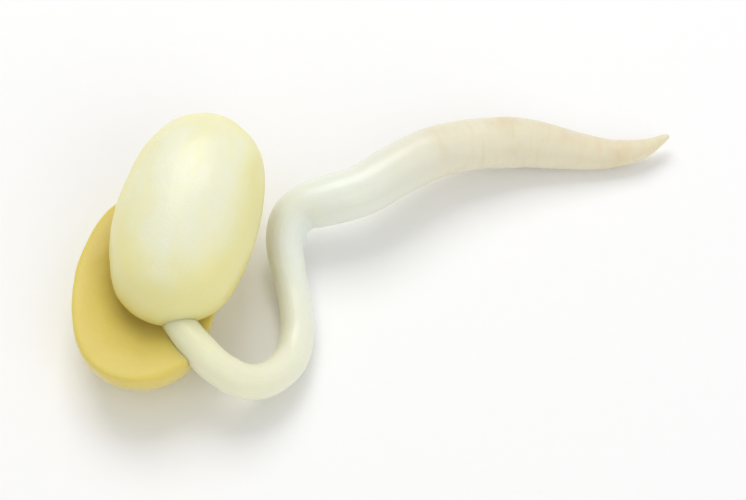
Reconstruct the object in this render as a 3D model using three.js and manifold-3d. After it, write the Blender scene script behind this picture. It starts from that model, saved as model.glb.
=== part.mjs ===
// One mung bean sprout lying on a flat surface, in millimetres with +Z up.
// The two cotyledons (the halves of the bean) lie one over the other. The neck of the stem leaves their base,
// turns back beside them in a hook, thickens, bends to the side and runs out into a tapering root.
// The first leaves are folded between the cotyledons.
import * as THREE from "three";
import { mergeVertices } from "three/addons/utils/BufferGeometryUtils.js";
import Module from "manifold-3d";

const wasm = await Module();
wasm.setup();

// Cotyledon: half a bean, with a domed outer side and a slightly hollow inner side.
const COTYLEDON_LENGTH = 9.2;
const COTYLEDON_WIDTH = 5.9;
const COTYLEDON_THICKNESS = 2.8;
const DISH_DEPTH = 0.6;
const LIP_REACH = 0.93; // where the inner side is highest, as a share of the way out to the edge
const LIP_HEIGHT = 0.1;
const EDGE = { reach: 0.985, height: -0.075 }; // the rounding between the dome's edge and the lip
const OUTLINE_SQUARENESS = 2.25; // 2 is an ellipse, higher is squarer
const DOME_FULLNESS = 0.92; // 1 is an ellipsoid, lower is fuller towards the rim
const APEX_NARROWING = 0.08; // share of the width lost at the apex and gained at the base
const BASE_THICKENING = 0.06;
const KIDNEY_BEND = 0.3; // how far both ends lean towards the neck's side

// How each cotyledon lies: middle of its rim, the way its apex points from above, and its rise.
const UPPER = { middle: [-3.85, -0.22, 3.62], heading_deg: 15, rise_deg: 8 };
const LOWER = { middle: [-5.5, -2.5, 2.5], heading_deg: 6, rise_deg: -5 };

// Axis of stem and root: where it passes, and how thick it is there.
const AXIS = [
  { at: [-4.67, -3.42, 2.9], diameter: 1.2 },
  { at: [-4.18, -4.35, 2.88], diameter: 1.3 },
  { at: [-3.36, -5.5, 2.73], diameter: 1.38 },
  { at: [-2.38, -6.28, 2.3], diameter: 1.42 },
  { at: [-1.26, -6.42, 1.65], diameter: 1.44 },
  { at: [-0.16, -5.63, 1.1], diameter: 1.44 },
  { at: [0.46, -4.06, 0.73], diameter: 1.4 },
  { at: [0.43, -2.61, 0.85], diameter: 1.38 },
  { at: [0.13, -1.05, 1.1], diameter: 1.4 },
  { at: [0, 0.33, 1.5], diameter: 1.6 },
  { at: [0.49, 1.26, 1.85], diameter: 1.85 },
  { at: [1.72, 1.63, 2.1], diameter: 2.05 },
  { at: [3.03, 2.04, 2.2], diameter: 2.12 },
  { at: [4.43, 2.98, 2.15], diameter: 2.15 },
  { at: [5.9, 3.95, 1.95], diameter: 2.15 },
  { at: [7.62, 4.57, 1.6], diameter: 2.12 },
  { at: [9.51, 4.91, 1.2], diameter: 2.05 },
  { at: [11.31, 4.82, 0.87], diameter: 1.7 },
  { at: [13.03, 4.73, 0.66], diameter: 1.28 },
  { at: [14.51, 4.9, 0.7], diameter: 0.85 },
  { at: [15.66, 5.5, 0.8], diameter: 0.3 },
];
const COLLAR_SHARE = 0.62; // share of the axis that is stem, from the neck down to the collar
const NECK_ROUNDING = 0.55;
const TIP_ROUNDING = 0.2;

// First leaves: a short stalk with two blades folded face to face.
const LEAF_LENGTH = 3.2;
const LEAF_WIDTH = 1.8;
const LEAF_THICKNESS = 0.6;
const LEAF_TAPER = 0.45; // share of the width lost towards the point
const LEAF_OFFSET = 0.27; // of each blade's middle from the plane between the two
const LEAF_SPREAD_DEG = 3;
const STALK_DIAMETER = 0.6;
const STALK_STEPS = 5;
const STALK_SIDES = 10;
const BLADE_START = 0.6; // share of the stalk's length where the blades begin
const STALK_PATH = [
  [-4.75, -3.1, 2.92],
  [-4.8, -2.5, 2.98],
  [-4.8, -1.9, 3.02],
];

const COLLAR_GAP = 0.1; // between the end of the stem and the start of the root
const CLEARANCE = 0.25; // round the stem, where the cotyledons and leaves are cut by it
const MERGE_DISTANCE = 1e-4;
const CUTTER_SIZE = 60;
const STATIONS_PER_MM = 2;
const STEM_SIDES = 16;
const ROOT_SIDES = 16;
const COTYLEDON_AROUND = 36;
const DOME_ROWS = 9;
const DISH_ROWS = 6;
const LEAF_AROUND = 16;
const LEAF_ROWS = 8;

const vector = (xyz) => new THREE.Vector3(...xyz);
const radians = THREE.MathUtils.degToRad;

// A closed geometry as a solid that can be joined and cut.
function solidFrom(geometry) {
  const bare = geometry.clone();
  bare.deleteAttribute("normal");
  bare.deleteAttribute("uv");
  const merged = mergeVertices(bare, MERGE_DISTANCE);
  const mesh = new wasm.Mesh({
    numProp: 3,
    vertProperties: merged.attributes.position.array,
    triVerts: new Uint32Array(merged.index.array),
  });
  return new wasm.Manifold(mesh);
}

function geometryFrom(solid) {
  const mesh = solid.getMesh();
  const geometry = new THREE.BufferGeometry();
  geometry.setAttribute("position", new THREE.BufferAttribute(mesh.vertProperties, 3));
  geometry.setIndex(new THREE.BufferAttribute(mesh.triVerts, 1));
  geometry.computeVertexNormals();
  return geometry;
}

// A round rod bent along a curve. Each row is { share, radius }, its share of the curve's length and its radius.
// The rod is turned straight on a lathe first, and each of its rows is then carried to its place on the curve.
function bentRod(curve, rows, sides) {
  const capped = [{ ...rows[0], radius: 0 }, ...rows, { ...rows.at(-1), radius: 0 }];
  const profile = capped.map((row) => new THREE.Vector2(row.radius, row.share));
  const geometry = new THREE.LatheGeometry(profile, sides);
  const turn = new THREE.Quaternion();
  let along = new THREE.Vector3(0, 1, 0);
  const frames = capped.map((row) => {
    const tangent = curve.getTangentAt(row.share);
    turn.premultiply(new THREE.Quaternion().setFromUnitVectors(along, tangent));
    along = tangent;
    return { centre: curve.getPointAt(row.share), turn: turn.clone() };
  });
  const position = geometry.attributes.position;
  const point = new THREE.Vector3();
  for (let i = 0; i < position.count; i += 1) {
    const frame = frames[i % capped.length];
    point.fromBufferAttribute(position, i).setY(0);
    point.applyQuaternion(frame.turn).add(frame.centre);
    position.setXYZ(i, point.x, point.y, point.z);
  }
  return geometry;
}

const axis = new THREE.CatmullRomCurve3(AXIS.map((stop) => vector(stop.at)));
const girth = new THREE.SplineCurve(AXIS.map((stop, i) => new THREE.Vector2(i, stop.diameter)));
const axisLength = axis.getLength();

function axisRadius(share) {
  return girth.getPoint(axis.getUtoTmapping(share)).y / 2;
}

// How much of its radius a rod keeps at this distance from its rounded end.
function rounding(distance, reach) {
  const inside = Math.min(distance / reach, 1);
  return Math.sqrt(inside * (2 - inside));
}

// Rows along the axis from one share to another, with extra rows where an end is rounded.
function axisRows(from, to, { startRounding = 0, endRounding = 0, swell = 0 } = {}) {
  const length = (to - from) * axisLength;
  const steps = Math.round(length * STATIONS_PER_MM);
  const even = Array.from({ length: steps + 1 }, (_, i) => (i / steps) * length);
  const nearStart = [0.04, 0.16, 0.45].map((part) => part * startRounding);
  const nearEnd = [0.04, 0.16, 0.45].map((part) => length - part * endRounding);
  const extra = [...(startRounding ? nearStart : []), ...(endRounding ? nearEnd : [])];
  const distances = [...even, ...extra].sort((a, b) => a - b);
  return distances.map((distance) => {
    const share = from + distance / axisLength;
    const start = startRounding ? rounding(distance, startRounding) : 1;
    const end = endRounding ? rounding(length - distance, endRounding) : 1;
    return { share: Math.min(share, 1), radius: Math.max(axisRadius(share) * start * end, 0) + swell };
  });
}

// Stem: from its rounded top between the cotyledons to the collar where the root begins.
const stemEnd = COLLAR_SHARE - COLLAR_GAP / 2 / axisLength;
const stemSolid = solidFrom(bentRod(axis, axisRows(0, stemEnd, { startRounding: NECK_ROUNDING }), STEM_SIDES));

// The stem with a little clearance round it, which the cotyledons and leaves are cut by.
const stemClearance = solidFrom(
  bentRod(axis, axisRows(0, stemEnd, { startRounding: NECK_ROUNDING, swell: CLEARANCE }), STEM_SIDES),
);

// Root: from the collar to its tip.
const rootStart = COLLAR_SHARE + COLLAR_GAP / 2 / axisLength;
const rootSolid = solidFrom(bentRod(axis, axisRows(rootStart, 1, { endRounding: TIP_ROUNDING }), ROOT_SIDES));

function signedPower(value, power) {
  return Math.sign(value) * Math.abs(value) ** power;
}

// Section of half a bean from the top of its dome, out to its edge, and back in over the lip and the dish.
// Distances out from the middle are shares of the way to the edge, and heights are in millimetres.
function cotyledonSection() {
  const dome = Array.from({ length: DOME_ROWS + 1 }, (_, i) => {
    const angle = (i / DOME_ROWS) * (Math.PI / 2);
    const height = COTYLEDON_THICKNESS * Math.abs(Math.cos(angle)) ** DOME_FULLNESS;
    return new THREE.Vector2(Math.sin(angle), height);
  });
  dome[0].x = 0;
  const dish = Array.from({ length: DISH_ROWS + 1 }, (_, i) => {
    const inward = i / DISH_ROWS;
    const height = (DISH_DEPTH + LIP_HEIGHT) * Math.sin((inward * Math.PI) / 2) ** 2 - LIP_HEIGHT;
    return new THREE.Vector2(LIP_REACH * (1 - inward), height);
  });
  return [...dome, new THREE.Vector2(EDGE.reach, EDGE.height), ...dish].reverse();
}

// Half a bean about its own middle: length along X, width along Y, dome towards +Z.
// The section is turned on a lathe and then drawn out to the bean's outline.
// hilumSide is 1 or -1, the side of the width that the ends lean to.
function cotyledonGeometry(hilumSide) {
  const geometry = new THREE.LatheGeometry(cotyledonSection(), COTYLEDON_AROUND);
  const position = geometry.attributes.position;
  for (let i = 0; i < position.count; i += 1) {
    const height = position.getY(i);
    const reach = Math.hypot(position.getX(i), position.getZ(i));
    const angle = Math.atan2(-position.getZ(i), position.getX(i));
    const soften = THREE.MathUtils.lerp(1, 2 / OUTLINE_SQUARENESS, reach);
    const along = reach * signedPower(Math.cos(angle), soften);
    const across = reach * signedPower(Math.sin(angle), soften) * (1 - APEX_NARROWING * along);
    const lean = hilumSide * KIDNEY_BEND * (along ** 2 - 0.4);
    position.setXYZ(
      i,
      (along * COTYLEDON_LENGTH) / 2,
      (across * COTYLEDON_WIDTH) / 2 + lean,
      height * (1 - BASE_THICKENING * along),
    );
  }
  return geometry;
}

// Turns and carries a half bean to its place. outward is 1 for a dome facing up and -1 for one facing down.
function placedCotyledon({ middle, heading_deg, rise_deg }, outward) {
  const heading = radians(heading_deg);
  const rise = radians(rise_deg);
  const apex = new THREE.Vector3(
    Math.sin(heading) * Math.cos(rise),
    Math.cos(heading) * Math.cos(rise),
    Math.sin(rise),
  );
  const neckSide = apex.clone().cross(new THREE.Vector3(0, 0, 1)).normalize();
  const dome = neckSide.clone().cross(apex).multiplyScalar(outward);
  const width = dome.clone().cross(apex);
  const place = new THREE.Matrix4().makeBasis(apex, width, dome).setPosition(vector(middle));
  return cotyledonGeometry(Math.sign(width.dot(neckSide))).applyMatrix4(place);
}

const upperSolid = solidFrom(placedCotyledon(UPPER, 1)).subtract(stemClearance);

// The surface that the sprout lies on takes a small flat spot off the lower dome.
const surface = new THREE.BoxGeometry(CUTTER_SIZE, CUTTER_SIZE, CUTTER_SIZE).translate(0, 0, -CUTTER_SIZE / 2);
const lowerSolid = solidFrom(placedCotyledon(LOWER, -1)).subtract(stemClearance).subtract(solidFrom(surface));

// One folded leaf blade: base at the origin, length along X, and its thickness along Z.
function leafGeometry() {
  const geometry = new THREE.SphereGeometry(1, LEAF_AROUND, LEAF_ROWS);
  const position = geometry.attributes.position;
  for (let i = 0; i < position.count; i += 1) {
    const fromBase = (position.getX(i) + 1) / 2;
    const narrowed = 1 - LEAF_TAPER * fromBase ** 2;
    position.setXYZ(
      i,
      fromBase * LEAF_LENGTH,
      (-position.getZ(i) * LEAF_WIDTH * narrowed) / 2,
      (position.getY(i) * LEAF_THICKNESS) / 2,
    );
  }
  return geometry;
}

function firstLeavesSolid() {
  const path = new THREE.CatmullRomCurve3(STALK_PATH.map(vector));
  const rows = Array.from({ length: STALK_STEPS + 1 }, (_, i) => ({
    share: i / STALK_STEPS,
    radius: STALK_DIAMETER / 2,
  }));
  const stalk = solidFrom(bentRod(path, rows, STALK_SIDES));
  const tangent = path.getTangentAt(1);
  const width = tangent.clone().cross(new THREE.Vector3(0, 0, 1)).normalize();
  const face = tangent.clone().cross(width).negate();
  const place = new THREE.Matrix4().makeBasis(tangent, face.clone().cross(tangent), face);
  place.setPosition(path.getPointAt(BLADE_START));
  const blades = [1, -1].map((side) => {
    const spread = new THREE.Matrix4().makeRotationY(-side * radians(LEAF_SPREAD_DEG));
    const blade = leafGeometry().translate(0, 0, side * LEAF_OFFSET).applyMatrix4(spread).applyMatrix4(place);
    return solidFrom(blade);
  });
  return stalk.add(blades[0]).add(blades[1]).subtract(stemClearance);
}

// Materials, each with the colour and gloss of its piece.
const finish = (color, roughness) => new THREE.MeshStandardMaterial({ color, roughness, metalness: 0 });
const PIECES = [
  { name: "stem", solid: stemSolid, material: finish(0xe9ebdf, 0.3) },
  { name: "root", solid: rootSolid, material: finish(0xe0d0ac, 0.45) },
  { name: "cotyledon_upper", solid: upperSolid, material: finish(0xefeecb, 0.35) },
  { name: "cotyledon_lower", solid: lowerSolid, material: finish(0xe8dc9a, 0.35) },
  { name: "first_leaves", solid: firstLeavesSolid(), material: finish(0xe3d777, 0.45) },
];

const sprout = new THREE.Group();
for (const { name, solid, material } of PIECES) {
  const mesh = new THREE.Mesh(geometryFrom(solid), material);
  mesh.name = name;
  sprout.add(mesh);
}

// The origin is under the middle of the whole sprout, on the surface that it lies on.
const bounds = new THREE.Box3().setFromObject(sprout, true);
const middle = bounds.getCenter(new THREE.Vector3());
sprout.position.set(-middle.x, -middle.y, -bounds.min.z);

export default sprout;
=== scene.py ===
# One mung bean sprout lying on a pale floor in soft light. Two cotyledons lie one over the other with the
# first leaves folded between them. The white stem turns back beside them in a hook and runs out into a root.
import math

import bpy
from mathutils import Euler, Matrix, Vector
from mathutils.geometry import interpolate_bezier


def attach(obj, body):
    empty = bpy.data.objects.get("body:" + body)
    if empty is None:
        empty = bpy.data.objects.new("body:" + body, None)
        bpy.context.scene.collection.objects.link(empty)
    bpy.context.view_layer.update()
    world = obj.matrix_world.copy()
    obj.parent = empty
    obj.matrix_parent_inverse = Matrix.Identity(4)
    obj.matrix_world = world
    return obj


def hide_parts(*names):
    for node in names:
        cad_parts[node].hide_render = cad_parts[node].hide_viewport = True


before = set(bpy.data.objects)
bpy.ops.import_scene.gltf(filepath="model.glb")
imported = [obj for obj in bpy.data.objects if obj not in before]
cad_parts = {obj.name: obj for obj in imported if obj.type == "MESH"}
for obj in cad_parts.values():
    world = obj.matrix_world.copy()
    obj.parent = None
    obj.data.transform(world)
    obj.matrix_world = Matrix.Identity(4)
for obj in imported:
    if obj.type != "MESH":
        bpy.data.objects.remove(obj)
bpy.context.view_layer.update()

MM = 0.001

# Lengths are in millimetres where no comment says otherwise. Places are counted from this point of the part.
PLACES_FROM = Vector((-3.5113, 0.6182, 0.0))

# Half a bean, as it is before it is laid in place: length along X, width along Y and dome up
BEAN_LENGTH = 9.2
BEAN_WIDTH = 5.8
DOME_HEIGHT = 2.8
BEAN_CUTS = 11
BEAN_ROUNDNESS = 0.9
BEAN_SMOOTHING = 0.5
BEAN_SMOOTHINGS = 10
BEAN_TAPER = -0.06
BEAN_CURVE_DEG = 15

# Its inner side. A reach is a share of the way from the middle to the edge.
EDGE_REACH = 0.985
EDGE_DROP = 0.055
LIP_REACH = 0.93
LIP_HEIGHT = 0.1
DISH_REACHES = (0.82, 0.68, 0.52, 0.36, 0.2, 0.08)
DISH_DEPTH = 0.6

# How each piece lies: the place of its own origin, where its end points from above, counted from +Y
# towards +X, how far that end rises, and whether the piece is turned over
UPPER = {"at": (-3.85, -0.22, 3.62), "heading_deg": 15, "rise_deg": 8, "turned_over": False}
LOWER = {"at": (-5.5, -2.5, 2.5), "heading_deg": 6, "rise_deg": -5, "turned_over": True}
LEAVES = {"at": (-4.8, -2.38, 2.99), "heading_deg": 0, "rise_deg": 4, "turned_over": False}

# Axis of stem and root: a place that it passes, and the diameter there
AXIS = (
    ((-4.67, -3.42, 2.9), 1.2),
    ((-4.18, -4.35, 2.88), 1.3),
    ((-3.36, -5.5, 2.73), 1.38),
    ((-2.38, -6.28, 2.3), 1.42),
    ((-1.26, -6.42, 1.65), 1.44),
    ((-0.16, -5.63, 1.1), 1.44),
    ((0.46, -4.06, 0.73), 1.4),
    ((0.43, -2.61, 0.85), 1.38),
    ((0.13, -1.05, 1.1), 1.4),
    ((0.0, 0.33, 1.5), 1.6),
    ((0.49, 1.26, 1.85), 1.85),
    ((1.72, 1.63, 2.1), 2.05),
    ((3.03, 2.04, 2.2), 2.12),
    ((4.43, 2.98, 2.15), 2.15),
    ((5.9, 3.95, 1.95), 2.15),
    ((7.62, 4.57, 1.6), 2.12),
    ((9.51, 4.91, 1.2), 2.05),
    ((11.31, 4.82, 0.87), 1.7),
    ((13.03, 4.73, 0.66), 1.28),
    ((14.51, 4.9, 0.7), 0.85),
    ((15.66, 5.5, 0.8), 0.3),
)
AXIS_RESOLUTION = 32
ROD_SIDES = 24
ROW_SPACING = 0.4
NECK_ROUNDING = 0.55
TIP_ROUNDING = 0.25
ROUNDING_ROWS = (0.02, 0.12, 0.35)
NECK_CLEARANCE = 0.015

# The collar, where the stem ends and the root begins, and how the root's wrinkles come in there, all by
# share of the axis
COLLAR_SHARE = 0.62
WRINKLES_BEFORE_COLLAR = 0.05
WRINKLES_COME_IN_OVER = 0.15
ROOT_GROUP = "root_share"

# First leaves: two blades folded face to face on a stalk, made along X. The most that a blade arches is an
# angle in radians, and its least width is a share of its widest.
LEAF_LENGTH = 3.2
LEAF_WIDTH = 1.8
LEAF_TAPER = 0.45
LEAF_LEAST_WIDTH = 0.08
LEAF_THICKNESS = 0.14
LEAF_ARCH_RADIUS = 1.4
LEAF_ARCH_MOST = 1.2
LEAF_EDGE_GAP = 0.08
LEAF_SPREAD_DEG = 3
LEAF_COLUMNS = 14
LEAF_SIDE_ROWS = 4
VEIN_SWEEP = 0.45
VEIN_WIDTH = 0.035
VEIN_HEIGHT = 0.04
LOWER_LEAF_SIZE = 0.94
LOWER_LEAF_TURN_DEG = 5
STALK_ROWS = (-0.85, -0.6, -0.3, 0.0, 0.25, 0.4)
STALK_RADII = (0.3, 0.27, 0.25, 0.24, 0.2, 0.1)
STALK_SIDES = 12

# Soft unevenness of the surfaces: how wide the swellings are and how high
STEM_SWELLINGS = (1.7, 0.1)
ROOT_WRINKLES = (0.5, 0.055)
BEAN_SWELLINGS = (2.4, 0.14)

# A face that looks down at least this far, and is this near to a cut at height 0, is the one that closes it
LOOKS_DOWN = -0.9
AT_CUT = 0.01

# Tolerances in metres
CUT_TOLERANCE = 1e-7
SAME_PLACE = 1e-7

SMOOTH_BELOW_DEG = 40
OWN_PLACE = "own_place"

# Colours are screen values from 0 to 255. Those of stem and root follow the axis, by share from the neck.
STEM_COLOURS = (
    (0.0, (237, 235, 186)),
    (0.1, (237, 236, 204)),
    (0.27, (236, 237, 219)),
    (0.42, (233, 238, 230)),
    (0.54, (234, 237, 224)),
    (0.66, (233, 228, 205)),
    (1.0, (228, 218, 190)),
)
STEM_GREEN = (224, 233, 200)
ROOT_BROWN = (216, 194, 146)

# Colours of each cotyledon: the top of its dome, its flank, its rim and its inner face. The top's paleness
# is partly a painted highlight.
UPPER_COLOURS = ((238, 239, 213), (238, 232, 166), (234, 220, 130), (227, 207, 106))
# The lower cotyledon's colours are darker and yellower than the upper one's: painted shade where the upper
# cotyledon lies over it.
LOWER_COLOURS_WITH_PAINTED_SHADE = ((232, 219, 140), (226, 208, 114), (220, 198, 96), (219, 200, 102))
# A deeper gold towards the middle of the dish: partly the inner face's own colour, partly painted shade in
# its hollow.
DISH_GOLD_AND_PAINTED_SHADE = (206, 178, 66)

LEAF_FLESH = (228, 214, 110)
LEAF_GREEN = (204, 206, 98)
LEAF_VEIN = (240, 232, 168)

FLOOR_COLOURS = ((250, 250, 250), (252, 252, 252))

# Patterns: the width of their patches in millimetres, how fine they go, and how they are drawn out
STEM_PATCHES = {"width": 1.6, "detail": 3.0}
STEM_FIBRES = {"width": 0.16, "detail": 2.0, "stretch": (0.06, 1, 1)}
ROOT_RINGS = {"width": 0.22, "detail": 3.0, "stretch": (1, 0.12, 0.12)}
STEM_GRAIN = {"width": 0.09, "detail": 2.0}
BEAN_PATCHES = {"width": 1.8, "detail": 3.0}
BEAN_SPECKS = {"width": 0.32, "detail": 3.0, "roughness": 0.6}
BEAN_STREAKS = {"width": 0.9, "detail": 2.0, "stretch": (0.3, 1, 1)}
BEAN_GRAIN = {"width": 0.08, "detail": 2.0}
LEAF_PATCHES = {"width": 0.5, "detail": 3.0}
LEAF_CELLS = {"width": 0.07, "detail": 2.0}
FLOOR_GRAIN = {"width": 0.6, "detail": 3.0}

# Marks: where in its pattern a mark starts, where it shows in full, and how strongly it then covers the
# colour under it. The dish goes by the height in a half bean, and a vein by the distance from its middle.
GREEN_FIBRES = (0.5, 0.75, 0.28)
BROWN_RINGS = (0.5, 0.8, 0.3)
BROWN_STAINS = (0.52, 0.75, 0.3)
DEEP_STREAKS = (0.42, 0.75, 0.4)
PALE_SPECKS = (0.56, 0.8, 0.3)
GOLD_AND_PAINTED_SHADE_IN_DISH = (-0.1, 0.75, 0.55)
GREEN_PATCHES = (0.35, 0.7, 0.6)
PALE_VEINS = (0.1, 0.0, 0.5)
PALE_MIDRIB = (0.1, 0.03, 0.7)

# Roughness and coat of each finish, and how much duller the root and the inner faces are
STEM_ROUGHNESS = 0.36
STEM_COAT = 0.34
ROOT_ROUGHER = 0.1
ROOT_LESS_COAT = 0.22
BEAN_ROUGHNESS = 0.37
BEAN_COAT = 0.24
INSIDE_ROUGHER = 0.1
INSIDE_LESS_COAT = 0.12
LEAF_ROUGHNESS = 0.42
FLOOR_ROUGHNESS = 0.7

# How far a pattern swings another value up and down, in all
STEM_TONE_SWING = 0.07
STEM_ROUGHNESS_SWING = 0.08
BEAN_LEVEL_SWING = 1.3
DISH_PATCH_SWING = 0.8
DISH_SPECK_SWING = 0.3
BEAN_ROUGHNESS_SWING = 0.14
BEAN_COAT_SWING = 0.2
LEAF_ROUGHNESS_SWING = 0.2
FLOOR_ROUGHNESS_SWING = 0.1

# Relief of each pattern, in millimetres, and how much of the fibres' is lost on the root
FIBRE_RELIEF = 0.016
FIBRES_LOST = 0.6
RING_RELIEF = 0.03
STEM_GRAIN_RELIEF = 0.004
STREAK_RELIEF = 0.03
SPECK_RELIEF = 0.014
BEAN_GRAIN_RELIEF = 0.006
CELL_RELIEF = 0.012
LEAF_PATCH_RELIEF = 0.02

# Heights in a half bean between which one colour passes into the next, in millimetres, and how much higher
# each millimetre towards its end counts. The paler top, reaching further towards the end, is partly a
# painted highlight.
RIM_TO_FLANK = (-0.1, 0.75)
FLANK_TO_TOP_AND_HIGHLIGHT = (1.35, 2.8)
PAINTED_HIGHLIGHT_FORWARD = 0.09

# How far a surface faces the way that the dome points, where the inner face starts and where it is full
DOME_TO_INSIDE = (0.1, -0.4)

# Distances from the collar, by share of the axis. The tissue lets light in beyond the first and none within
# the second. The root's colours come in from a little before the collar to a little past it.
CLEAR_TO_OPAQUE = (0.09, 0.04)
STEM_TO_ROOT = (-0.06, 0.12)

# What is the same all over a finish. The subsurface scale is in metres.
FIRM_TISSUE = {"IOR": 1.42, "Coat_Roughness": 0.2}
SOFT_TISSUE = {
    **FIRM_TISSUE,
    "Subsurface_Weight": 0.5,
    "Subsurface_Radius": (1.0, 0.86, 0.5),
    "Subsurface_Scale": 0.0008,
}
DULL_PAINT = {"Specular_IOR_Level": 0.2}

# Floor, light and camera: sizes and places in metres, power in watts
FLOOR_SIZE = 1.2
ROOM_LIGHT = 0.6
KEY_LIGHT = {"location": (-0.02, 0.085, 0.135), "size": 0.1, "power": 0.11}
FILL_LIGHT = {"location": (0.08, -0.12, 0.1), "size": 0.16, "power": 0.065}
LOOK_AT = Vector((0, 0, 0.002))
CAMERA_ELEVATION_DEG = 60
CAMERA_DISTANCE = 0.166
CAMERA_LENS = 200
CAMERA_CLIP_START = 0.001


def place(xyz):
    """A place given in millimetres, in metres in the part's frame."""
    return (Vector(xyz) + PLACES_FROM) * MM


def laid(lie):
    """The turn and move that carry a piece made along X to where it lies."""
    heading = Euler((0, 0, math.radians(90 - lie["heading_deg"]))).to_matrix()
    rise = Euler((0, -math.radians(lie["rise_deg"]), 0)).to_matrix()
    over = Euler((math.pi if lie["turned_over"] else 0, 0, 0)).to_matrix()
    return Matrix.Translation(place(lie["at"])) @ (heading @ rise @ over).to_4x4()


# Modelling helpers


def deselect_all():
    if bpy.context.object and bpy.context.object.mode != "OBJECT":
        bpy.ops.object.mode_set(mode="OBJECT")
    bpy.ops.object.select_all(action="DESELECT")


def activate(obj):
    """Makes the object the only one that operators act on."""
    deselect_all()
    obj.select_set(True)
    bpy.context.view_layer.objects.active = obj


def edit(obj, kind="FACE"):
    activate(obj)
    bpy.ops.object.mode_set(mode="EDIT")
    bpy.ops.mesh.select_mode(type=kind)


def leave_edit():
    bpy.ops.object.mode_set(mode="OBJECT")


def apply_modifier(obj, kind, **settings):
    modifier = obj.modifiers.new(kind.title(), kind)
    for setting, value in settings.items():
        setattr(modifier, setting, value)
    activate(obj)
    bpy.ops.object.modifier_apply(modifier=modifier.name)


def subdivide_smoothly(obj, levels):
    apply_modifier(obj, "SUBSURF", levels=levels, render_levels=levels)


def select_only(obj, kind, chosen):
    """Selects the vertices, edges or faces that the test picks, and leaves the object in edit mode."""
    edit(obj, kind)
    bpy.ops.mesh.select_all(action="DESELECT")
    leave_edit()
    mesh = obj.data
    elements = {"VERT": mesh.vertices, "EDGE": mesh.edges, "FACE": mesh.polygons}[kind]
    for element in elements:
        element.select = chosen(element)
    bpy.ops.object.mode_set(mode="EDIT")


def settle(obj):
    """Puts the object's place, turn and size into its mesh."""
    activate(obj)
    bpy.ops.object.transform_apply(location=True, rotation=True, scale=True)


def face_outwards(obj):
    edit(obj)
    bpy.ops.mesh.select_all(action="SELECT")
    bpy.ops.mesh.normals_make_consistent(inside=False)
    leave_edit()


def duplicate(obj, name):
    """A copy of the object with a mesh of its own."""
    copy = obj.copy()
    copy.data = obj.data.copy()
    copy.name = name
    bpy.context.collection.objects.link(copy)
    return copy


def join(objects, name):
    """Makes one object of several, under a new name."""
    activate(objects[0])
    for obj in objects[1:]:
        obj.select_set(True)
    bpy.ops.object.join()
    objects[0].name = name
    return objects[0]


def discard(obj):
    bpy.data.objects.remove(obj, do_unlink=True)


def remember_place(obj):
    """Keeps where each vertex is before the piece is bent and laid, for patterns that follow its surface."""
    kept = obj.data.attributes.new(OWN_PLACE, "FLOAT_VECTOR", "POINT")
    kept.data.foreach_set("vector", [number for vertex in obj.data.vertices for number in vertex.co])


def swell(obj, swellings, group=""):
    """Gives the surface a soft unevenness, as strong as the vertex group where one is named."""
    width, height = swellings
    texture = bpy.data.textures.new("swellings", "CLOUDS")
    texture.noise_basis = "IMPROVED_PERLIN"
    texture.noise_scale = width * MM
    apply_modifier(
        obj, "DISPLACE", texture=texture, strength=height * MM, mid_level=0.5, vertex_group=group
    )


def cut_away(obj, point, normal):
    """Cuts the object at a plane, closes it there and keeps the side that the normal points to."""
    edit(obj)
    bpy.ops.mesh.select_all(action="SELECT")
    bpy.ops.mesh.bisect(
        plane_co=point, plane_no=normal, use_fill=True, clear_inner=True, threshold=CUT_TOLERANCE
    )
    leave_edit()


def cut_level(obj):
    """Takes away what is below height 0."""
    cut_away(obj, (0, 0, 0), (0, 0, 1))


def grow_rod(name, rows, radii, sides):
    """A closed rod along X, grown from a disc row by row."""
    deselect_all()
    bpy.ops.mesh.primitive_circle_add(
        vertices=sides,
        radius=radii[0],
        fill_type="NGON",
        location=(rows[0], 0, 0),
        rotation=(0, math.radians(90), 0),
    )
    rod = bpy.context.object
    rod.name = name
    settle(rod)
    edit(rod)
    bpy.ops.mesh.select_all(action="SELECT")
    for near, far, radius, next_radius in zip(rows, rows[1:], radii, radii[1:]):
        bpy.ops.mesh.extrude_region_move(TRANSFORM_OT_translate={"value": (far - near, 0, 0)})
        scale = next_radius / radius
        bpy.ops.transform.resize(value=(1, scale, scale), center_override=(far, 0, 0))
    leave_edit()
    face_outwards(rod)
    return rod


# Stem and root


def axis_guide():
    """The curve that stem and root follow. Its point radii carry their thickness."""
    curve = bpy.data.curves.new("axis_guide", "CURVE")
    curve.dimensions = "3D"
    curve.resolution_u = AXIS_RESOLUTION
    curve.twist_mode = "MINIMUM"
    spline = curve.splines.new("BEZIER")
    spline.radius_interpolation = "CARDINAL"
    spline.bezier_points.add(len(AXIS) - 1)
    for point, (passes, diameter) in zip(spline.bezier_points, AXIS):
        point.co = place(passes)
        point.handle_left_type = "AUTO"
        point.handle_right_type = "AUTO"
        point.radius = diameter / 2
    guide = bpy.data.objects.new("axis_guide", curve)
    bpy.context.collection.objects.link(guide)
    bpy.context.view_layer.update()
    return guide


def guide_walk(guide):
    """Points close together along the guide, and the distance to each from its start."""
    points = guide.data.splines[0].bezier_points
    walk = [points[0].co.copy()]
    for near, far in zip(points, points[1:]):
        walk += interpolate_bezier(near.co, near.handle_right, far.handle_left, far.co, AXIS_RESOLUTION)[1:]
    distances = [0.0]
    for near, far in zip(walk, walk[1:]):
        distances.append(distances[-1] + (far - near).length)
    return walk, distances


def rounding(distance, reach):
    """How thick a rounded end is at a distance from its tip, from 0 at the tip to 1 past its reach."""
    inside = min(distance / reach, 1.0)
    return math.sqrt(inside * (2 - inside))


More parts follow.
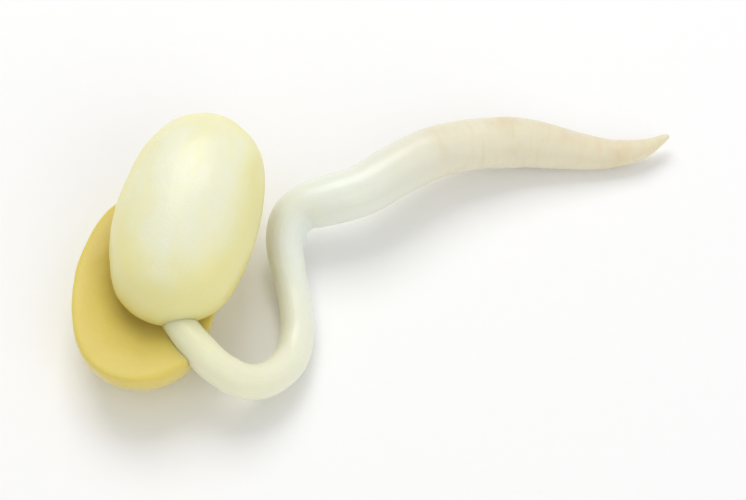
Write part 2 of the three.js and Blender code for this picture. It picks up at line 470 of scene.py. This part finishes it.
def straight_rod(length):
    """The stem and root before they are bent: a rod of 1 mm radius with rounded ends."""
    steps = round(length / (ROW_SPACING * MM))
    rows = [length * i / steps for i in range(1, steps)]
    rows += [NECK_ROUNDING * MM * share for share in ROUNDING_ROWS]
    rows += [length - TIP_ROUNDING * MM * share for share in ROUNDING_ROWS]
    rows.sort()
    radii = [rounding(x, NECK_ROUNDING * MM) * rounding(length - x, TIP_ROUNDING * MM) * MM for x in rows]
    rod = grow_rod("rod", rows, radii, ROD_SIDES)
    subdivide_smoothly(rod, 2)
    return rod


def mark_root(rod, length):
    """A vertex group that grows from nothing before the collar to all of the root."""
    group = rod.vertex_groups.new(name=ROOT_GROUP)
    for vertex in rod.data.vertices:
        past = vertex.co.x / length - COLLAR_SHARE + WRINKLES_BEFORE_COLLAR
        share = past / WRINKLES_COME_IN_OVER
        if share > 0:
            group.add([vertex.index], min(share, 1.0), "REPLACE")


def grown_rod(guide, length):
    """Stem and root in one, bent along the guide, uneven and wrinkled."""
    rod = straight_rod(length)
    remember_place(rod)
    mark_root(rod, length)
    apply_modifier(rod, "CURVE", object=guide, deform_axis="POS_X")
    swell(rod, STEM_SWELLINGS)
    swell(rod, ROOT_WRINKLES, ROOT_GROUP)
    return rod


def neck_with_clearance(rod):
    """A slightly thicker copy of the rod, to cut the neck's socket into the cotyledons."""
    cutter = duplicate(rod, "neck_cutter")
    cutter.data.attributes.remove(cutter.data.attributes[OWN_PLACE])
    apply_modifier(cutter, "DISPLACE", strength=NECK_CLEARANCE * MM, mid_level=0)
    return cutter


def stem_and_root():
    guide = axis_guide()
    walk, distances = guide_walk(guide)
    rod = grown_rod(guide, distances[-1])
    neck_cutter = neck_with_clearance(rod)
    collar = min(range(len(walk)), key=lambda i: abs(distances[i] - COLLAR_SHARE * distances[-1]))
    along = (walk[collar + 1] - walk[collar - 1]).normalized()
    stem = duplicate(rod, "stem_skin")
    cut_away(stem, walk[collar], -along)
    root = duplicate(rod, "root_skin")
    cut_away(root, walk[collar], along)
    for piece in (stem, root):
        cut_level(piece)
    discard(rod)
    discard(guide)
    return stem, root, neck_cutter


# Cotyledons


def dome(name):
    """The rounded outer side of half a bean, closed by one flat face at height 0."""
    deselect_all()
    bpy.ops.mesh.primitive_cube_add(size=2 * MM)
    bean = bpy.context.object
    bean.name = name
    edit(bean)
    bpy.ops.mesh.select_all(action="SELECT")
    bpy.ops.mesh.subdivide(number_cuts=BEAN_CUTS)
    bpy.ops.transform.tosphere(value=BEAN_ROUNDNESS)
    bpy.ops.mesh.vertices_smooth(factor=BEAN_SMOOTHING, repeat=BEAN_SMOOTHINGS)
    leave_edit()
    bean.dimensions = (BEAN_LENGTH * MM, BEAN_WIDTH * MM, 2 * DOME_HEIGHT * MM)
    settle(bean)
    cut_level(bean)
    return bean


def dish_profile():
    """The inner side from the edge to near the middle: the reach and the height of each step."""
    profile = [(EDGE_REACH, -EDGE_DROP), (LIP_REACH, -LIP_HEIGHT)]
    for reach in DISH_REACHES:
        inward = 1 - reach / LIP_REACH
        rise = (DISH_DEPTH + LIP_HEIGHT) * math.sin(inward * math.pi / 2) ** 2
        profile.append((reach, rise - LIP_HEIGHT))
    return profile


def press_dish(bean):
    """Shapes the flat face into a rounded edge, a lip and a shallow dish, step by step inwards."""
    select_only(
        bean, "FACE", lambda face: face.normal.z < LOOKS_DOWN and abs(face.center.z) < AT_CUT * MM
    )
    last_reach, last_height = 1.0, 0.0
    for reach, height in dish_profile():
        bpy.ops.mesh.extrude_region_move(
            TRANSFORM_OT_translate={"value": (0, 0, (height - last_height) * MM)}
        )
        scale = reach / last_reach
        bpy.ops.transform.resize(value=(scale, scale, 1), center_override=(0, 0, 0))
        last_reach, last_height = reach, height
    bpy.ops.mesh.poke()
    leave_edit()


def half_bean(name):
    bean = dome(name)
    press_dish(bean)
    face_outwards(bean)
    subdivide_smoothly(bean, 2)
    return bean


def lay_cotyledon(bean, lie):
    """Tapers and curves a half bean, and carries it to where it lies."""
    curve_deg = BEAN_CURVE_DEG if lie["turned_over"] else -BEAN_CURVE_DEG
    apply_modifier(bean, "SIMPLE_DEFORM", deform_method="TAPER", deform_axis="X", factor=BEAN_TAPER)
    apply_modifier(
        bean, "SIMPLE_DEFORM", deform_method="BEND", deform_axis="Z", angle=math.radians(curve_deg)
    )
    bean.matrix_world = laid(lie)
    settle(bean)


def cotyledons(neck_cutter):
    upper = half_bean("cotyledon_upper_skin")
    lower = duplicate(upper, "cotyledon_lower_skin")
    for bean, lie in ((upper, UPPER), (lower, LOWER)):
        lay_cotyledon(bean, lie)
        swell(bean, BEAN_SWELLINGS)
        apply_modifier(bean, "BOOLEAN", operation="DIFFERENCE", solver="EXACT", object=neck_cutter)
    cut_level(lower)
    return upper, lower


# First leaves


def places_along(obj, axis):
    """The different places of the vertices along an axis, in order."""
    found = []
    for number in sorted(vertex.co[axis] for vertex in obj.data.vertices):
        if not found or number - found[-1] > SAME_PLACE:
            found.append(number)
    return found


def blank_blade(name):
    """An oblong sheet along X from the leaf's base."""
    deselect_all()
    bpy.ops.mesh.primitive_grid_add(
        x_subdivisions=LEAF_COLUMNS,
        y_subdivisions=2 * LEAF_SIDE_ROWS,
        size=MM,
        location=(LEAF_LENGTH * MM / 2, 0, 0),
    )
    blade = bpy.context.object
    blade.name = name
    blade.scale = (LEAF_LENGTH, LEAF_WIDTH, 1)
    settle(blade)
    return blade


def raise_veins(blade):
    """Lifts the midrib and every second cross row a little above the sheet, short of its edges."""
    vein_columns = places_along(blade, 0)[2:-1:2]
    rows = places_along(blade, 1)
    last_row = rows[-2] + SAME_PLACE

    def on_vein(edge):
        near, far = (blade.data.vertices[index].co for index in edge.vertices)
        if abs(near.y) < SAME_PLACE and abs(far.y) < SAME_PLACE:
            return max(near.x, far.x) < vein_columns[-1] + SAME_PLACE
        on_column = any(
            max(abs(end.x - column) for end in (near, far)) < SAME_PLACE for column in vein_columns
        )
        return on_column and max(abs(near.y), abs(far.y)) < last_row

    select_only(blade, "EDGE", on_vein)
    bpy.ops.mesh.bevel(offset=VEIN_WIDTH * MM, segments=1, affect="EDGES")
    bpy.ops.mesh.extrude_region_move(TRANSFORM_OT_translate={"value": (0, 0, VEIN_HEIGHT * MM)})
    leave_edit()


def leaf_outline(share):
    """The width of a leaf, by share of its widest, at a share of its length."""
    oval = math.sqrt(max(4 * share * (1 - share), 0))
    return max(oval * (1 - LEAF_TAPER * share**2), LEAF_LEAST_WIDTH)


def narrow_blade(blade):
    """Draws the sheet in to the outline of a leaf, widest before its middle and pointed at its end."""
    for column in places_along(blade, 0):
        width = leaf_outline(column / (LEAF_LENGTH * MM))
        select_only(blade, "VERT", lambda vertex: abs(vertex.co.x - column) < SAME_PLACE)
        bpy.ops.transform.resize(value=(1, width, 1), center_override=(column, 0, 0))
        leave_edit()


def arch_blade(blade):
    """Bows the blade over its midrib and carries its sides forward."""
    for row in places_along(blade, 1):
        side = abs(row) / MM
        turn = min(side / LEAF_ARCH_RADIUS, LEAF_ARCH_MOST)
        drop = LEAF_ARCH_RADIUS * (1 - math.cos(turn))
        select_only(blade, "VERT", lambda vertex: abs(vertex.co.y - row) < SAME_PLACE)
        bpy.ops.transform.translate(value=(VEIN_SWEEP * side * MM, 0, -drop * MM))
        leave_edit()


def leaf_blade(name):
    blade = blank_blade(name)
    raise_veins(blade)
    narrow_blade(blade)
    arch_blade(blade)
    apply_modifier(blade, "SOLIDIFY", thickness=LEAF_THICKNESS * MM, offset=-1)
    face_outwards(blade)
    subdivide_smoothly(blade, 1)
    return blade


def lay_blade(blade, side, size, turn_deg):
    """Turns a blade to its side of the fold, a little open towards the tip."""
    edge_drop = LEAF_ARCH_RADIUS * (1 - math.cos(LEAF_WIDTH / 2 / LEAF_ARCH_RADIUS))
    lift = (edge_drop + LEAF_EDGE_GAP) * MM
    over = Euler((0 if side > 0 else math.pi, 0, 0)).to_matrix().to_4x4()
    spread = Euler((0, -side * math.radians(LEAF_SPREAD_DEG), math.radians(turn_deg))).to_matrix().to_4x4()
    blade.matrix_world = spread @ Matrix.Translation((0, 0, side * lift)) @ over @ Matrix.Scale(size, 4)
    settle(blade)


def leaf_stalk():
    rows = [row * MM for row in STALK_ROWS]
    radii = [radius * MM for radius in STALK_RADII]
    stalk = grow_rod("stalk", rows, radii, STALK_SIDES)
    subdivide_smoothly(stalk, 2)
    return stalk


def first_leaves():
    upper_blade = leaf_blade("upper_blade")
    lower_blade = duplicate(upper_blade, "lower_blade")
    lay_blade(upper_blade, 1, 1, 0)
    lay_blade(lower_blade, -1, LOWER_LEAF_SIZE, LOWER_LEAF_TURN_DEG)
    leaves = join([upper_blade, lower_blade, leaf_stalk()], "first_leaves_skin")
    remember_place(leaves)
    leaves.matrix_world = laid(LEAVES)
    settle(leaves)
    return leaves


# Materials


def shade(screen_values):
    """A colour given by its screen values from 0 to 255, as the light values that a shader takes."""
    light = []
    for value in screen_values:
        part = value / 255
        light.append(part / 12.92 if part <= 0.04045 else ((part + 0.055) / 1.055) ** 2.4)
    return (*light, 1.0)


class Value:
    """A value in a material, wrapped so that sums on it can be written plainly."""

    def __init__(self, finish, socket):
        self.finish = finish
        self.socket = socket

    def sum_of(self, operation, first, second):
        return self.finish.node("ShaderNodeMath", {"operation": operation}, {0: first, 1: second})

    def __add__(self, other):
        return self.sum_of("ADD", self, other)

    def __radd__(self, other):
        return self.sum_of("ADD", other, self)

    def __sub__(self, other):
        return self.sum_of("SUBTRACT", self, other)

    def __rsub__(self, other):
        return self.sum_of("SUBTRACT", other, self)

    def __mul__(self, other):
        return self.sum_of("MULTIPLY", self, other)

    def __rmul__(self, other):
        return self.sum_of("MULTIPLY", other, self)

    def __abs__(self):
        return self.finish.node("ShaderNodeMath", {"operation": "ABSOLUTE"}, {0: self})

    def swing(self, width):
        """A value from 0 to 1 as one that swings about 0, as wide in all as the given width."""
        return (self - 0.5) * width


class Finish:
    """One material: a Principled shader with the values that are the same all over, and what varies."""

    def __init__(self, name, **constants):
        self.material = bpy.data.materials.new(name)
        self.material.use_nodes = True
        self.tree = self.material.node_tree
        self.shaders = [self.tree.nodes["Principled BSDF"]]
        self.set_constants(self.shaders[0], constants)

    def set_constants(self, shader, constants):
        for socket, value in constants.items():
            shader.inputs[socket.replace("_", " ")].default_value = value

    def opaque_where(self, share, **constants):
        """Adds a second shader with other constants, which takes over where the share is 1."""
        opaque = self.tree.nodes.new("ShaderNodeBsdfPrincipled")
        self.set_constants(opaque, constants)
        self.shaders.append(opaque)
        both = self.tree.nodes.new("ShaderNodeMixShader")
        self.tree.links.new(share.socket, both.inputs[0])
        self.tree.links.new(self.shaders[0].outputs[0], both.inputs[1])
        self.tree.links.new(opaque.outputs[0], both.inputs[2])
        self.tree.links.new(both.outputs[0], self.tree.nodes["Material Output"].inputs["Surface"])

    def node(self, kind, settings=None, values=None, output=0):
        """Adds a node, makes its settings, then gives its sockets values or links."""
        node = self.tree.nodes.new(kind)
        for setting, choice in (settings or {}).items():
            if setting == "stops":
                self.set_stops(node.color_ramp, choice)
            else:
                setattr(node, setting, choice)
        for key, value in (values or {}).items():
            if isinstance(value, Value):
                self.tree.links.new(value.socket, node.inputs[key])
            else:
                node.inputs[key].default_value = value
        return Value(self, node.outputs[output])

    def set_stops(self, ramp, stops):
        while len(ramp.elements) < len(stops):
            ramp.elements.new(1.0)
        for element, (position, colour) in zip(ramp.elements, stops):
            element.position = position
            element.color = colour

    def feed(self, socket, value):
        for shader in self.shaders:
            self.tree.links.new(value.socket, shader.inputs[socket])

    def object_place(self):
        return self.node("ShaderNodeTexCoord", output="Object")

    def own_place(self):
        """Where the surface was before its piece was bent and laid."""
        return self.node("ShaderNodeAttribute", {"attribute_name": OWN_PLACE}, output="Vector")

    def place_before(self, move):
        """Where the surface was before its piece was turned and moved."""
        values = {"Vector": self.object_place(), "Location": move.translation, "Rotation": move.to_euler()}
        return self.node("ShaderNodeMapping", {"vector_type": "TEXTURE"}, values)

    def facing(self, direction):
        """How far the surface faces a direction, from 1 for towards it to -1 for away."""
        normal = self.node("ShaderNodeNewGeometry", output="Normal")
        values = {0: normal, 1: direction}
        return self.node("ShaderNodeVectorMath", {"operation": "DOT_PRODUCT"}, values, output="Value")

    def along(self, place_value, axis):
        """One coordinate of a place, in millimetres."""
        return self.node("ShaderNodeSeparateXYZ", values={0: place_value}, output=axis) * (1 / MM)

    def noise(self, place_value, width, detail, roughness=0.5, stretch=None):
        """Soft noise from 0 to 1. A stretch below 1 draws its patches out along that axis."""
        if stretch:
            values = {0: place_value, 1: stretch}
            place_value = self.node("ShaderNodeVectorMath", {"operation": "MULTIPLY"}, values)
        values = {"Vector": place_value, "Scale": 1 / (width * MM), "Detail": detail, "Roughness": roughness}
        return self.node("ShaderNodeTexNoise", values=values)

    def between(self, value, low, high):
        """Runs smoothly from 0 where the value is low to 1 where it is high."""
        return self.node(
            "ShaderNodeMapRange",
            {"interpolation_type": "SMOOTHSTEP"},
            {"Value": value, "From Min": low, "From Max": high},
        )

    def mark(self, pattern, start, full, strength):
        """How much a mark covers: nothing up to its start, and its strength from where it shows in full."""
        return self.between(pattern, start, full) * strength

    def blend(self, share, first, second):
        """The first colour where the share is 0, and the second where it is 1."""
        return self.node("ShaderNodeMix", {"data_type": "RGBA"}, {0: share, 6: first, 7: second}, output=2)

    def ramp(self, share, stops):
        return self.node("ShaderNodeValToRGB", {"stops": stops}, {0: share})

    def bump(self, height):
        """Turns a height in millimetres into relief."""
        relief = self.node("ShaderNodeBump", values={"Strength": 1.0, "Distance": MM, "Height": height})
        self.feed("Normal", relief)


def rod_finish(name, length):
    """White stem to tan root, with fine lines along it, and rings and wrinkles across the root."""
    finish = Finish(name, **SOFT_TISSUE)
    straight = finish.own_place()
    here = finish.object_place()
    share = finish.along(straight, "X") * (MM / length)
    from_collar = abs(share - COLLAR_SHARE)
    finish.opaque_where(finish.between(from_collar, *CLEAR_TO_OPAQUE), **FIRM_TISSUE)
    before, past = STEM_TO_ROOT
    root = finish.between(share, COLLAR_SHARE + before, COLLAR_SHARE + past)
    patches = finish.noise(here, **STEM_PATCHES)
    fibres = finish.noise(straight, **STEM_FIBRES)
    rings = finish.noise(straight, **ROOT_RINGS)
    grain = finish.noise(here, **STEM_GRAIN)
    stops = [(position, shade(colour)) for position, colour in STEM_COLOURS]
    colour = finish.ramp(share + patches.swing(STEM_TONE_SWING), stops)
    green = finish.mark(fibres, *GREEN_FIBRES) * (1 - root)
    colour = finish.blend(green, colour, shade(STEM_GREEN))
    brown = finish.mark(rings, *BROWN_RINGS) * root
    colour = finish.blend(brown, colour, shade(ROOT_BROWN))
    stain = finish.mark(patches, *BROWN_STAINS) * root
    colour = finish.blend(stain, colour, shade(ROOT_BROWN))
    finish.feed("Base Color", colour)
    finish.feed("Roughness", STEM_ROUGHNESS + root * ROOT_ROUGHER + grain.swing(STEM_ROUGHNESS_SWING))
    finish.feed("Coat Weight", STEM_COAT - root * ROOT_LESS_COAT)
    lines = fibres * (1 - root * FIBRES_LOST) * FIBRE_RELIEF
    finish.bump(lines + rings * root * RING_RELIEF + grain * STEM_GRAIN_RELIEF)
    return finish.material


def bean_finish(name, colours, lie):
    """Smooth and moist: pale on the dome, partly as a painted highlight, with soft streaks along it, yellow
    at the rim, and gold in the dish, deeper in its middle partly as painted shade.
    """
    top, flank, rim, inner = (shade(colour) for colour in colours)
    finish = Finish(name, **SOFT_TISSUE)
    in_bean = finish.place_before(laid(lie))
    here = finish.object_place()
    height = finish.along(in_bean, "Z")
    forward = finish.along(in_bean, "X")
    patches = finish.noise(here, **BEAN_PATCHES)
    specks = finish.noise(here, **BEAN_SPECKS)
    streaks = finish.noise(in_bean, **BEAN_STREAKS)
    grain = finish.noise(here, **BEAN_GRAIN)
    level = height + patches.swing(BEAN_LEVEL_SWING)
    colour = finish.blend(finish.between(level, *RIM_TO_FLANK), rim, flank)
    # Paler towards the top and towards the end: partly a painted highlight.
    top_and_painted_highlight = finish.between(level + forward * PAINTED_HIGHLIGHT_FORWARD, *FLANK_TO_TOP_AND_HIGHLIGHT)
    colour = finish.blend(top_and_painted_highlight, colour, top)
    colour = finish.blend(finish.mark(streaks, *DEEP_STREAKS), colour, flank)
    colour = finish.blend(finish.mark(specks, *PALE_SPECKS), colour, top)
    outward = laid(lie).to_3x3() @ Vector((0, 0, 1))
    inside = finish.between(finish.facing(outward), *DOME_TO_INSIDE)
    depth = height + patches.swing(DISH_PATCH_SWING) + specks.swing(DISH_SPECK_SWING)
    # Deeper gold towards the middle of the dish: partly the inner face's own colour, partly painted shade in
    # the hollow.
    inner_colour = finish.blend(finish.mark(depth, *GOLD_AND_PAINTED_SHADE_IN_DISH), inner, shade(DISH_GOLD_AND_PAINTED_SHADE))
    finish.feed("Base Color", finish.blend(inside, colour, inner_colour))
    roughness = BEAN_ROUGHNESS + patches.swing(BEAN_ROUGHNESS_SWING)
    finish.feed("Roughness", roughness + inside * INSIDE_ROUGHER)
    coat = BEAN_COAT + specks.swing(BEAN_COAT_SWING)
    finish.feed("Coat Weight", coat - inside * INSIDE_LESS_COAT)
    finish.bump(streaks * STREAK_RELIEF + specks * SPECK_RELIEF + grain * BEAN_GRAIN_RELIEF)
    return finish.material


def leaf_finish():
    """Greenish yellow between paler veins."""
    finish = Finish("leaf_yellow", **SOFT_TISSUE)
    in_leaf = finish.own_place()
    here = finish.object_place()
    patches = finish.noise(here, **LEAF_PATCHES)
    cells = finish.noise(here, **LEAF_CELLS)
    off_middle = abs(finish.along(in_leaf, "Y"))
    forward = finish.along(in_leaf, "X")
    rows = (forward - off_middle * VEIN_SWEEP) * (LEAF_COLUMNS / 2 / LEAF_LENGTH)
    off_vein = finish.node("ShaderNodeMath", {"operation": "PINGPONG"}, {0: rows, 1: 0.5})
    colour = finish.blend(finish.mark(patches, *GREEN_PATCHES), shade(LEAF_FLESH), shade(LEAF_GREEN))
    colour = finish.blend(finish.mark(off_vein, *PALE_VEINS), colour, shade(LEAF_VEIN))
    colour = finish.blend(finish.mark(off_middle, *PALE_MIDRIB), colour, shade(LEAF_VEIN))
    finish.feed("Base Color", colour)
    finish.feed("Roughness", LEAF_ROUGHNESS + cells.swing(LEAF_ROUGHNESS_SWING))
    finish.bump(cells * CELL_RELIEF + patches * LEAF_PATCH_RELIEF)
    return finish.material


def floor_finish():
    finish = Finish("pale_floor", **DULL_PAINT)
    grain = finish.noise(finish.object_place(), **FLOOR_GRAIN)
    first, second = (shade(colour) for colour in FLOOR_COLOURS)
    finish.feed("Base Color", finish.blend(grain, first, second))
    finish.feed("Roughness", FLOOR_ROUGHNESS + grain.swing(FLOOR_ROUGHNESS_SWING))
    return finish.material


# Making


def dress(piece, node, material):
    """Finishes a piece that stands for a node of the part."""
    activate(piece)
    bpy.ops.object.shade_smooth_by_angle(angle=math.radians(SMOOTH_BELOW_DEG))
    piece.data.materials.clear()
    piece.data.materials.append(material)
    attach(piece, "root")
    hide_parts(node)


stem, root, neck_cutter = stem_and_root()
upper, lower = cotyledons(neck_cutter)
discard(neck_cutter)
leaves = first_leaves()
axis_length = max(point.vector.x for point in root.data.attributes[OWN_PLACE].data)
dress(stem, "stem", rod_finish("stem_white", axis_length))
dress(root, "root", rod_finish("root_tan", axis_length))
dress(upper, "cotyledon_upper", bean_finish("cotyledon_cream", UPPER_COLOURS, UPPER))
# Painted shade: the lower cotyledon is coloured darker and yellower than the upper one.
dress(lower, "cotyledon_lower", bean_finish("cotyledon_yellow", LOWER_COLOURS_WITH_PAINTED_SHADE, LOWER))
dress(leaves, "first_leaves", leaf_finish())


# Floor, light and camera


def aim(obj):
    """Turns a lamp or camera so that it looks at the sprout."""
    obj.rotation_euler = (LOOK_AT - obj.location).to_track_quat("-Z", "Y").to_euler()


def lay_floor():
    deselect_all()
    bpy.ops.mesh.primitive_plane_add(size=FLOOR_SIZE)
    floor = bpy.context.object
    floor.name = "floor"
    floor.data.materials.append(floor_finish())


def light_room():
    """An even white light from all sides, with colours shown as they are."""
    world = bpy.data.worlds.new("pale_room")
    world.use_nodes = True
    background = world.node_tree.nodes["Background"]
    background.inputs["Color"].default_value = (1, 1, 1, 1)
    background.inputs["Strength"].default_value = ROOM_LIGHT
    bpy.context.scene.world = world
    bpy.context.scene.view_settings.view_transform = "Standard"


def add_soft_light(name, location, size, power):
    light = bpy.data.lights.new(name, "AREA")
    light.energy = power
    light.size = size
    lamp = bpy.data.objects.new(name, light)
    lamp.location = location
    aim(lamp)
    bpy.context.collection.objects.link(lamp)


def add_camera():
    camera_data = bpy.data.cameras.new("camera")
    camera_data.lens = CAMERA_LENS
    camera_data.clip_start = CAMERA_CLIP_START
    camera = bpy.data.objects.new("camera", camera_data)
    elevation = math.radians(CAMERA_ELEVATION_DEG)
    camera.location = LOOK_AT + Vector((0, -math.cos(elevation), math.sin(elevation))) * CAMERA_DISTANCE
    aim(camera)
    bpy.context.collection.objects.link(camera)
    bpy.context.scene.camera = camera


lay_floor()
light_room()
add_soft_light("key", **KEY_LIGHT)
add_soft_light("fill", **FILL_LIGHT)
add_camera()
